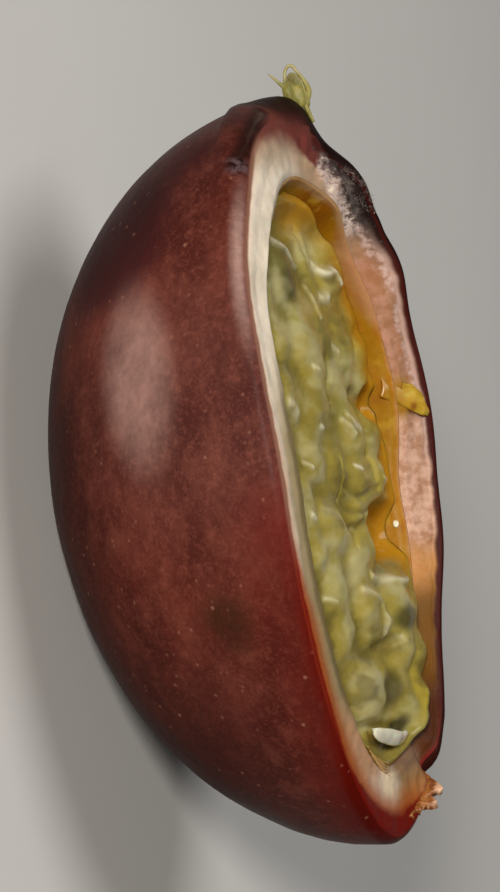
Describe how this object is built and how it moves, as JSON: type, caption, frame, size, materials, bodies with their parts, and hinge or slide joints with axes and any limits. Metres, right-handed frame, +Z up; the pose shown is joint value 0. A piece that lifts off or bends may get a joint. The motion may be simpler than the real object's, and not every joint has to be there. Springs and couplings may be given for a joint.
{
  "type": "passion fruit half",
  "caption": "Ripe purple passion fruit cut in half from end to end: a thick rind with a pale cut edge, filled with seeds in yellow-green pulp.",
  "frame": {"origin": "middle of the small flat spot on the round back that the fruit rests on", "axes": "+X from the dried flower end to the torn stem end, +Y to the side whose rim curls in, +Z up, out of the cut face"},
  "size_m": [0.0756, 0.0504, 0.0316],
  "materials": {
    "rind": "smooth waxy maroon skin, satin, with a cream pith where it is cut",
    "lining": "moist orange-yellow skin, satin",
    "pulp": "wet, glossy, translucent seed sacs",
    "dried_flower": "dry and matt"
  },
  "bodies": {
    "root": {"rind": "rind", "lining": "lining", "pulp": "pulp", "flower_remnant": "dried_flower"}
  },
  "joints": []
}
